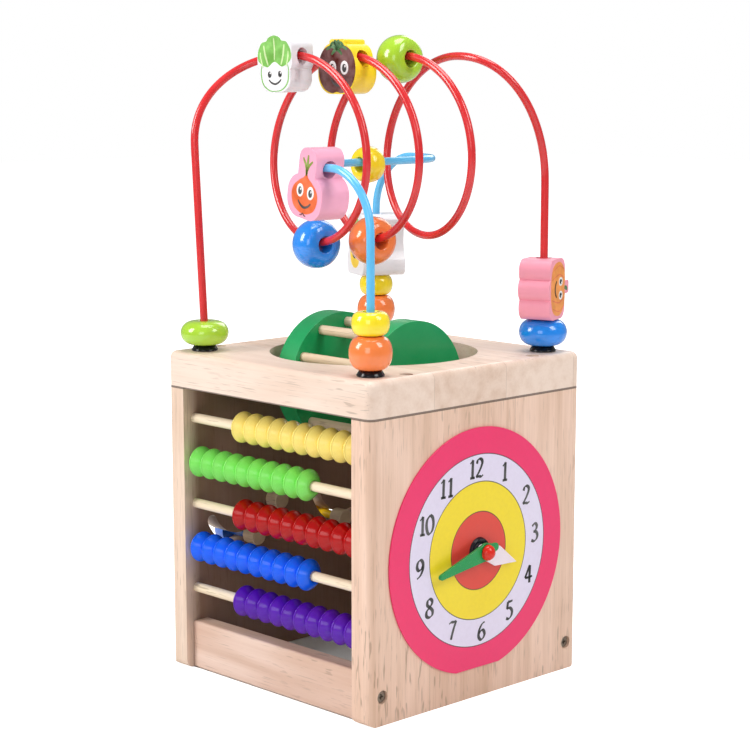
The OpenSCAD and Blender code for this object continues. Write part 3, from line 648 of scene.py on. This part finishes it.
def abacus_profile():
    """Half section of an abacus bead: two convex cones that meet in a thin rounded rim."""
    hub, rim_r, half_t, half_rim, bore = 5.0, 9.5, 5.35, 0.4, 3.3
    face = [(bore, half_t - 0.4), (bore + 0.4, half_t)]
    for i in range(13):
        x = i / 12
        face.append((hub + (rim_r - 0.3 - hub) * x, half_rim + (half_t - half_rim) * (1 - x ** 1.25)))
    edge_r, edge_h = face[-1]
    rim = [(edge_r + (rim_r - edge_r) * math.sin(a), edge_h * math.cos(a)) for a in
           (math.radians(90 * k / 5) for k in range(1, 5))]
    upper = face + rim
    return upper + [(rim_r, 0.0)] + [(r, -z) for r, z in reversed(upper)]


def bead_row(node, level, side):
    """One rod's beads, pushed together to its right (side 1) or left (side -1) end."""
    parts = []
    for i in range(PER_ROW):
        x = side * (ROW_END - PITCH * (i + 0.5))
        matrix = Matrix.Translation((x, ROD_Y, ROD_LOW + level * ROD_GAP)) @ LIE
        parts.append(lathe(abacus_profile(), matrix, 64))
    mesh = mesh_from(node, parts)
    sharpen(mesh, 50)
    finish_mesh(node + "_turned", mesh, MATERIALS[SLOT_OF[node]], BODY_OF[node], [node])


for node, level, side in (("beads_yellow", 4, 1), ("beads_green", 3, -1), ("beads_red", 2, 1),
                          ("beads_blue", 1, -1), ("beads_purple", 0, 1)):
    bead_row(node, level, side)

# --------------------------------------------------- pieces that keep their CAD shape, with rounded edges

for node, radius in (("top_board", 1.4), ("clock_panel", 1.1), ("track_panel", 1.1), ("back_panel", 0.8),
                     ("bottom_rail", 0.7), ("screws", 0.18), ("clock_spacer", 0.3), ("short_hand", 0.6),
                     ("long_hand", 0.7), ("drum_left_disc", 1.0), ("drum_right_disc", 1.0),
                     ("wire_collars", 0.5), ("pumpkin_block", 1.3), ("pear_block", 1.3),
                     ("cabbage_block", 1.2), ("tomato_block", 1.3), ("onion_block", 1.3), ("gear_pins", 0.4),
                     ("track_cap_left", 0.7), ("track_cap_mid", 0.7), ("track_cap_right", 0.7),
                     ("abacus_rods", 0.4), ("drum_bars", 0.4), ("drum_axle", 0.4), ("clock_dial", 0.15)):
    from_cad(node, radius)
for node in ("gear_left", "gear_middle", "gear_right", "gear_lower"):
    from_cad(node, 0.6, segments=2)
for node in ("clock_pin", "track_knob_left", "track_knob_mid", "track_knob_right"):
    from_cad(node, 0.5, angle=40)

# ------------------------------------------------------------------ clock numerals

NIB, NIB_THIN, NIB_SPREAD = math.radians(28), 0.036, 0.064
# strokes of each digit, on a height of 1
DIGITS = {
    "0": [[(0.32, 1.0), (0.10, 0.78), (0.05, 0.45), (0.14, 0.10), (0.30, 0.0), (0.50, 0.18), (0.57, 0.52),
           (0.50, 0.86), (0.32, 1.0)]],
    "1": [[(0.12, 0.82), (0.24, 0.90), (0.34, 1.0)], [(0.33, 1.0), (0.32, 0.5), (0.32, 0.0)],
          [(0.14, 0.02), (0.32, 0.02), (0.50, 0.02)]],
    "2": [[(0.08, 0.76), (0.16, 0.95), (0.34, 1.0), (0.50, 0.88), (0.48, 0.66), (0.30, 0.34), (0.06, 0.03)],
          [(0.06, 0.03), (0.26, 0.05), (0.46, 0.02), (0.60, 0.09)]],
    "3": [[(0.10, 0.86), (0.22, 0.98), (0.38, 0.98), (0.48, 0.82), (0.40, 0.64), (0.22, 0.55)],
          [(0.22, 0.55), (0.44, 0.50), (0.55, 0.30), (0.46, 0.08), (0.26, 0.0), (0.06, 0.08)]],
    "4": [[(0.40, 1.0), (0.22, 0.66), (0.04, 0.32)], [(0.04, 0.32), (0.32, 0.31), (0.62, 0.34)],
          [(0.42, 0.98), (0.41, 0.5), (0.40, 0.0)]],
    "5": [[(0.56, 1.0), (0.38, 0.97), (0.20, 0.98)], [(0.20, 0.98), (0.17, 0.78), (0.14, 0.58)],
          [(0.14, 0.58), (0.36, 0.61), (0.54, 0.42), (0.50, 0.16), (0.30, 0.0), (0.08, 0.06)]],
    "6": [[(0.54, 0.97), (0.32, 0.86), (0.12, 0.56), (0.08, 0.24), (0.24, 0.02), (0.44, 0.06), (0.56, 0.28),
           (0.44, 0.52), (0.24, 0.50), (0.11, 0.36)]],
    "7": [[(0.06, 0.90), (0.22, 0.97), (0.42, 0.95), (0.60, 0.99)],
          [(0.60, 0.99), (0.40, 0.55), (0.22, 0.0)]],
    "8": [[(0.32, 0.55), (0.14, 0.70), (0.17, 0.92), (0.34, 1.0), (0.50, 0.88), (0.47, 0.70), (0.32, 0.55),
           (0.10, 0.34), (0.10, 0.10), (0.30, 0.0), (0.52, 0.10), (0.54, 0.34), (0.32, 0.55)]],
    "9": [[(0.53, 0.66), (0.42, 0.50), (0.22, 0.46), (0.10, 0.66), (0.18, 0.92), (0.38, 1.0), (0.54, 0.82),
           (0.54, 0.48), (0.36, 0.16), (0.12, 0.02)]],
}


def pen(points, height):
    """Quads of a broad-nib pen stroke along the points."""
    line = open_curve([(x * height, z * height) for x, z in points], 7)
    verts, faces = [], []
    for i, p in enumerate(line):
        d = (line[min(i + 1, len(line) - 1)] - line[max(i - 1, 0)]).normalized()
        w = height * (NIB_THIN + NIB_SPREAD * abs(math.sin(math.atan2(d.y, d.x) - NIB)))
        side = Vector((-d.y, d.x)) * w
        verts += [p + side, p - side]
        if i:
            k = 2 * i
            faces.append((k - 2, k - 1, k + 1, k))
    return verts, faces


def numerals():
    """The hours, as strokes just proud of the dial: leaning a little, on a ring turned a little back."""
    parts, height, ring, lean, turn = [], 10.9, 49.8, 0.03, 3.4
    gap, dial_t, proud = 0.1, 1.0, 0.06
    out = HALF + gap + dial_t + proud
    for hour in range(1, 13):
        a = math.radians(30 * hour - turn)
        text = str(hour)
        width = height * 0.56
        centre = Vector((ring * math.sin(a), ring * math.cos(a)))
        for k, digit in enumerate(text):
            x0 = centre.x + (k - len(text) / 2) * width - 0.02 * height
            for stroke in DIGITS[digit]:
                flat, faces = pen(stroke, height)
                verts = [place((out, DIAL_Y + x0 + v.x + lean * (v.y - height / 2),
                                DIAL_Z + centre.y - height / 2 + v.y)) for v in flat]
                parts.append((verts, faces))
    mesh = mesh_from("numerals", parts, smooth=False)
    obj = finish_mesh("clock_numerals", mesh, PRINT["ink"], "cube", ())
    mod = obj.modifiers.new("thick", "SOLIDIFY")
    mod.thickness = 0.0001
    mod.offset = 0


numerals()

# ------------------------------------------------------------------ prints on the blocks (own plain designs)

FLIP = Matrix.Rotation(math.pi, 4, "Z")
FACE_OUT = 10.0
TOMATO_T, PEAR_T = 17, 30


def face_of(thickness):
    """Moves a print to the face of a block that isn't twice FACE_OUT thick."""
    return Matrix.Translation((0, FACE_OUT - thickness / 2, 0))


def print_on(block, matrix, name, tone, outlines, level=0):
    """Thin raised print on a block's face. A higher level lies over a lower one."""
    parts = [plate(o, matrix @ Matrix.Translation((0, -FACE_OUT, 0)), 0.10 + 0.07 * level) for o in outlines]
    finish_mesh(block + "_" + name, mesh_from(name, parts, smooth=False), PRINT[tone], BODY_OF[block], ())


def simple_face(block, matrix, x, z, size, smile_drop):
    """Two dot eyes with a highlight and a plain curved mouth."""
    def moved(outline):
        return [(x + px, z + pz) for px, pz in outline]

    eye, level = size * 0.42, 2
    whites = [moved(oval(k * eye, 0, size * 0.27, size * 0.33)) for k in (-1, 1)]
    dots = [moved(oval(k * eye, -0.02 * size, size * 0.15, size * 0.20)) for k in (-1, 1)]
    glints = [moved(oval(k * eye + 0.06 * size, 0.07 * size, size * 0.05, size * 0.06)) for k in (-1, 1)]
    mouth = [(size * t, -size * (smile_drop - 0.28 * t * t * 4)) for t in (-0.5, -0.3, 0.0, 0.3, 0.5)]
    print_on(block, matrix, "eye_whites", "white", whites, level)
    print_on(block, matrix, "eye_dots", "ink", dots + [moved(ribbon(mouth, size * 0.12))], level + 1)
    print_on(block, matrix, "eye_glints", "white", glints, level + 2)


CABBAGE = on_wire((bezier(LEFT_BEND, 0.85) + coil(6)) / 2, (coil(6) - bezier(LEFT_BEND, 0.85)).normalized(),
                  0.4)
crown = closed_curve([(-10.5, -4), (-13.0, -1), (-12.8, 3), (-11.5, 6), (-9.5, 8.6), (-6, 9.4),
                      (-4.2, 11.4), (0, 12.6), (4.2, 11.4), (6, 9.4), (9.5, 8.6), (11.5, 6),
                      (12.8, 3), (13.0, -1), (10.5, -4), (5, -6), (0, -3), (-5, -6)])
print_on("cabbage_block", CABBAGE, "crown", "leaf", [crown])
print_on("cabbage_block", CABBAGE, "veins", "vein",
         [ribbon([(0, -2), (0.4, 4), (0, 11)], 1.1), ribbon([(-5, -5), (-7, 1), (-8, 7)], 1.3),
          ribbon([(5, -5), (7, 1), (8, 7)], 1.3),
          ribbon([(-9, -6), (-10.6, -1), (-11, 3)], 0.9), ribbon([(9, -6), (10.6, -1), (11, 3)], 0.9)], 1)
print_on("cabbage_block", CABBAGE, "stem", "white",
         [closed_curve([(0, -3.0), (-4.5, -5.6), (-8.8, -7.6), (-9.8, -12), (-7.8, -16.8), (-3.5, -19.4),
                        (0, -19.9), (3.5, -19.4), (7.8, -16.8), (9.8, -12), (8.8, -7.6), (4.5, -5.6)])], 1)
print_on("cabbage_block", CABBAGE, "outline", "leaf",
         [ribbon([(-10.2, -5), (-10.8, -10), (-9.4, -16), (-5, -19.7), (0, -20.5)], 0.7),
          ribbon([(10.2, -5), (10.8, -10), (9.4, -16), (5, -19.7), (0, -20.5)], 0.7)], 1)
simple_face("cabbage_block", CABBAGE, 0, -10.2, 9.6, 0.62)

TOMATO = on_coil(360, 2.0) @ face_of(TOMATO_T)
TOMATO_PRINT = [(0, 6.1), (-6, 7.7), (-12.4, 4.4), (-15.9, -3), (-15.4, -10.8), (-11.5, -17.4), (-4.7, -20.4),
                (0, -19.8), (4.7, -20.4), (11.5, -17.4), (15.4, -10.8), (15.9, -3), (12.4, 4.4), (6, 7.7)]
print_on("tomato_block", TOMATO, "fruit", "tomato", [closed_curve(TOMATO_PRINT)])
print_on("tomato_block", TOMATO, "leaves", "leaf_dark",
         [ribbon([(0, 5.2), (dx * 0.5, 6.6 + lift), (dx, 4.6 + lift)], 1.9) for dx, lift in
          ((-9, 0.6), (-6, 2.6), (-2.4, 3.6), (2.4, 3.6), (6, 2.6), (9, 0.6), (-4.5, -2.2), (4.5, -2.2))], 1)
simple_face("tomato_block", TOMATO, 1.5, -5.4, 12.5, 0.85)

ONION = (on_wire(blue_plan(0.155), blue_dir(0.155), 1.2) @ Matrix.Translation((0, -1, 0))
         @ Matrix.Rotation(math.radians(9), 4, "Z") @ FLIP)
ONION = ONION @ Matrix.Rotation(math.radians(10), 4, "Y")
print_on("onion_block", ONION, "bulb", "onion",
         [closed_curve([(0, -1.2), (-1.8, -4.2), (-6, -6.8), (-10.8, -11), (-12, -16.3), (-9.4, -22),
                        (-4, -24.9), (0, -25.3), (4, -24.9), (9.4, -22), (12, -16.3), (10.8, -11),
                        (6, -6.8), (1.8, -4.2)])])
print_on("onion_block", ONION, "sprout", "sprout",
         [ribbon([(0, -3.5), (-0.8, 1.5), (-4.2, 6.4)], 1.7),
          ribbon([(0, -3.5), (0.2, 2.5), (0.2, 8.6)], 1.9),
          ribbon([(0, -3.5), (1.0, 1.5), (4.6, 5.6)], 1.6)], 1)
print_on("onion_block", ONION, "roots", "tomato",
         [ribbon([(0, -24.9), (-1.2, -26.1), (-2.8, -26.4)], 0.8),
          ribbon([(0, -24.9), (1.2, -26.1), (2.8, -26.4)], 0.8)], 1)
simple_face("onion_block", ONION, 0.6, -12.4, 11.5, 0.80)

TURN_UP = Matrix.Rotation(math.radians(-90), 4, "Y")
GAP, PUMPKIN_HALF = 0.2, 18.6
PUMPKIN = on_post(REACH, 0, STACK_Z + SIDE_BEAD_H + GAP + PUMPKIN_HALF, -114) @ TURN_UP @ FLIP
print_on("pumpkin_block", PUMPKIN, "fruit", "pumpkin",
         [closed_curve([(0, 9.6), (-5, 10.4), (-11, 9.0), (-15.6, 3.5), (-16.4, -3), (-14, -10),
                        (-8, -13.4), (0, -14.2), (8, -13.4), (14, -10), (16.4, -3), (15.6, 3.5),
                        (11, 9.0), (5, 10.4)])])
print_on("pumpkin_block", PUMPKIN, "ribs", "onion",
         [ribbon([(k * 5.5, 9.4), (k * 8.6, 0), (k * 6.0, -12.6)], 0.7) for k in (-1, 1)]
         + [ribbon([(k * 11.5, 7.6), (k * 14.0, 0), (k * 11.5, -10.4)], 0.6) for k in (-1, 1)], 1)
print_on("pumpkin_block", PUMPKIN, "stalk", "leaf_dark",
         [ribbon([(0, 9.4), (0.5, 12.4), (1.8, 14.6)], 2.6)], 1)
simple_face("pumpkin_block", PUMPKIN, 0, 2.6, 10.0, 1.0)

PEAR = on_post(0, REACH, STACK_Z + 53.4, 112) @ FLIP @ face_of(PEAR_T)
print_on("pear_block", PEAR, "fruit", "pear",
         [closed_curve([(0, 11.5), (-3.2, 10.2), (-4.6, 5.5), (-7.4, 0), (-8.4, -6.5), (-6.6, -12.5),
                        (-2.6, -15.2), (0, -15.4), (2.6, -15.2), (6.6, -12.5), (8.4, -6.5), (7.4, 0),
                        (4.6, 5.5), (3.2, 10.2)])])
print_on("pear_block", PEAR, "leaf", "leaf",
         [ribbon([(0, 11), (0.3, 14), (0.2, 16)], 1.0),
          closed_curve([(0.4, 13.6), (2.6, 16.6), (6.4, 16.8), (4.6, 14.0)])], 1)
simple_face("pear_block", PEAR, 0, -2.2, 7.4, 0.9)

# ------------------------------------------------------------------ floor, light, camera

# The floor glows for the camera only, except under the cube, and the world is white for the camera
# and AMBIENT for everything else. Both look white in the picture and give less light than that.
FLOOR_HALF, FLOOR_DROP, FLOOR_GLOW, UNLIT_EDGE = 6.0, 0.0004, 0.95, 6.0
AMBIENT = 0.30

floor_mat = Nodes("floor_paper")
floor_pos = floor_mat.add("TexCoord").outputs["Object"]
floor_tone = floor_mat.noise(floor_pos, 7.0, 2.0, 0.5)
floor_mat.shader(Base_Color=floor_mat.mix(floor_tone, rgba((0.80, 0.80, 0.80)), rgba((0.83, 0.83, 0.83))),
                 Roughness=0.75)
under = floor_mat.add("VectorMath", p_operation="SUBTRACT", i0=floor_pos,
                      i1=(SHIFT.x * MM, SHIFT.y * MM, 0.0)).outputs[0]
under = floor_mat.add("VectorMath", p_operation="ABSOLUTE", i0=under).outputs[0]
under = floor_mat.add("SeparateXYZ", Vector=under).outputs
open_floor = floor_mat.math("GREATER_THAN", floor_mat.math("MAXIMUM", under[0], under[1]),
                            (HALF - UNLIT_EDGE) * MM)
floor_glow = floor_mat.add("Emission", Strength=floor_mat.math("MULTIPLY", open_floor, FLOOR_GLOW))
floor_lit = floor_mat.add("AddShader", i0=floor_mat.bsdf.outputs[0], i1=floor_glow.outputs[0])
floor_seen = floor_mat.add("LightPath").outputs["Is Camera Ray"]
floor_mix = floor_mat.add("MixShader", i0=floor_seen, i1=floor_mat.bsdf.outputs[0], i2=floor_lit.outputs[0])
floor_mat.nt.links.new(floor_mix.outputs[0], floor_mat.out.inputs[0])

bm = bmesh.new()
bmesh.ops.create_grid(bm, x_segments=24, y_segments=24, size=FLOOR_HALF)
floor_mesh = bpy.data.meshes.new("floor")
bm.to_mesh(floor_mesh)
bm.free()
floor_mesh.materials.append(floor_mat.mat)
floor = bpy.data.objects.new("floor", floor_mesh)
floor.location.z = cad_box[0][2] - FLOOR_DROP
bpy.context.collection.objects.link(floor)

world = bpy.data.worlds.new("studio")
world.use_nodes = True
background = world.node_tree.nodes["Background"]
background.inputs[0].default_value = (1.0, 1.0, 1.0, 1)
seen = world.node_tree.nodes.new("ShaderNodeLightPath")
strength = world.node_tree.nodes.new("ShaderNodeMapRange")
strength.inputs[3].default_value = AMBIENT
strength.inputs[4].default_value = 1.0
world.node_tree.links.new(seen.outputs["Is Camera Ray"], strength.inputs[0])
world.node_tree.links.new(strength.outputs[0], background.inputs[1])
bpy.context.scene.world = world


def area(name, at, target, size, power, tint=(1, 1, 1), size_y=None):
    light = bpy.data.lights.new(name, "AREA")
    light.shape = "RECTANGLE"
    light.size = size
    light.size_y = size_y or size
    light.energy = power
    light.color = tint
    obj = bpy.data.objects.new(name, light)
    obj.location = at
    direction = Vector(target) - Vector(at)
    obj.rotation_euler = direction.to_track_quat("-Z", "Y").to_euler()
    bpy.context.collection.objects.link(obj)


AIM = (0.0, 0.0, 0.2)
area("key_left", (-0.65, -1.25, 0.95), AIM, 0.55, 15.0, (1.0, 0.98, 0.96), 0.8)
area("key_right", (1.15, 0.25, 1.15), AIM, 0.55, 8.5, (1.0, 0.99, 0.98), 0.8)
area("top", (0.05, 0.05, 1.7), AIM, 0.9, 13.0)
area("back", (-0.6, 1.4, 1.1), AIM, 0.9, 6.0)
area("fill", (0.75, -1.25, 0.55), AIM, 0.6, 3.0)

# The camera's place, aim, focal length and shift were fitted to the photograph.
CAMERA_AT, CAMERA_AIM = Vector((869.7, -842.1, 369.7)), Vector((0, 0, 167.03))
FOCAL_PX, FRAME_PX, SENSOR = 1985.26, 750, 36.0
camera = bpy.data.cameras.new("camera")
camera.sensor_width = SENSOR
camera.lens = FOCAL_PX / FRAME_PX * SENSOR
camera.shift_x, camera.shift_y = 0.0019, 0.0379
camera.clip_end = 50
cam = bpy.data.objects.new("camera", camera)
cam.location = place(CAMERA_AT)
cam.rotation_euler = (CAMERA_AIM - CAMERA_AT).to_track_quat("-Z", "Y").to_euler()
bpy.context.collection.objects.link(cam)
bpy.context.scene.camera = cam
bpy.context.scene.view_settings.view_transform = "Standard"
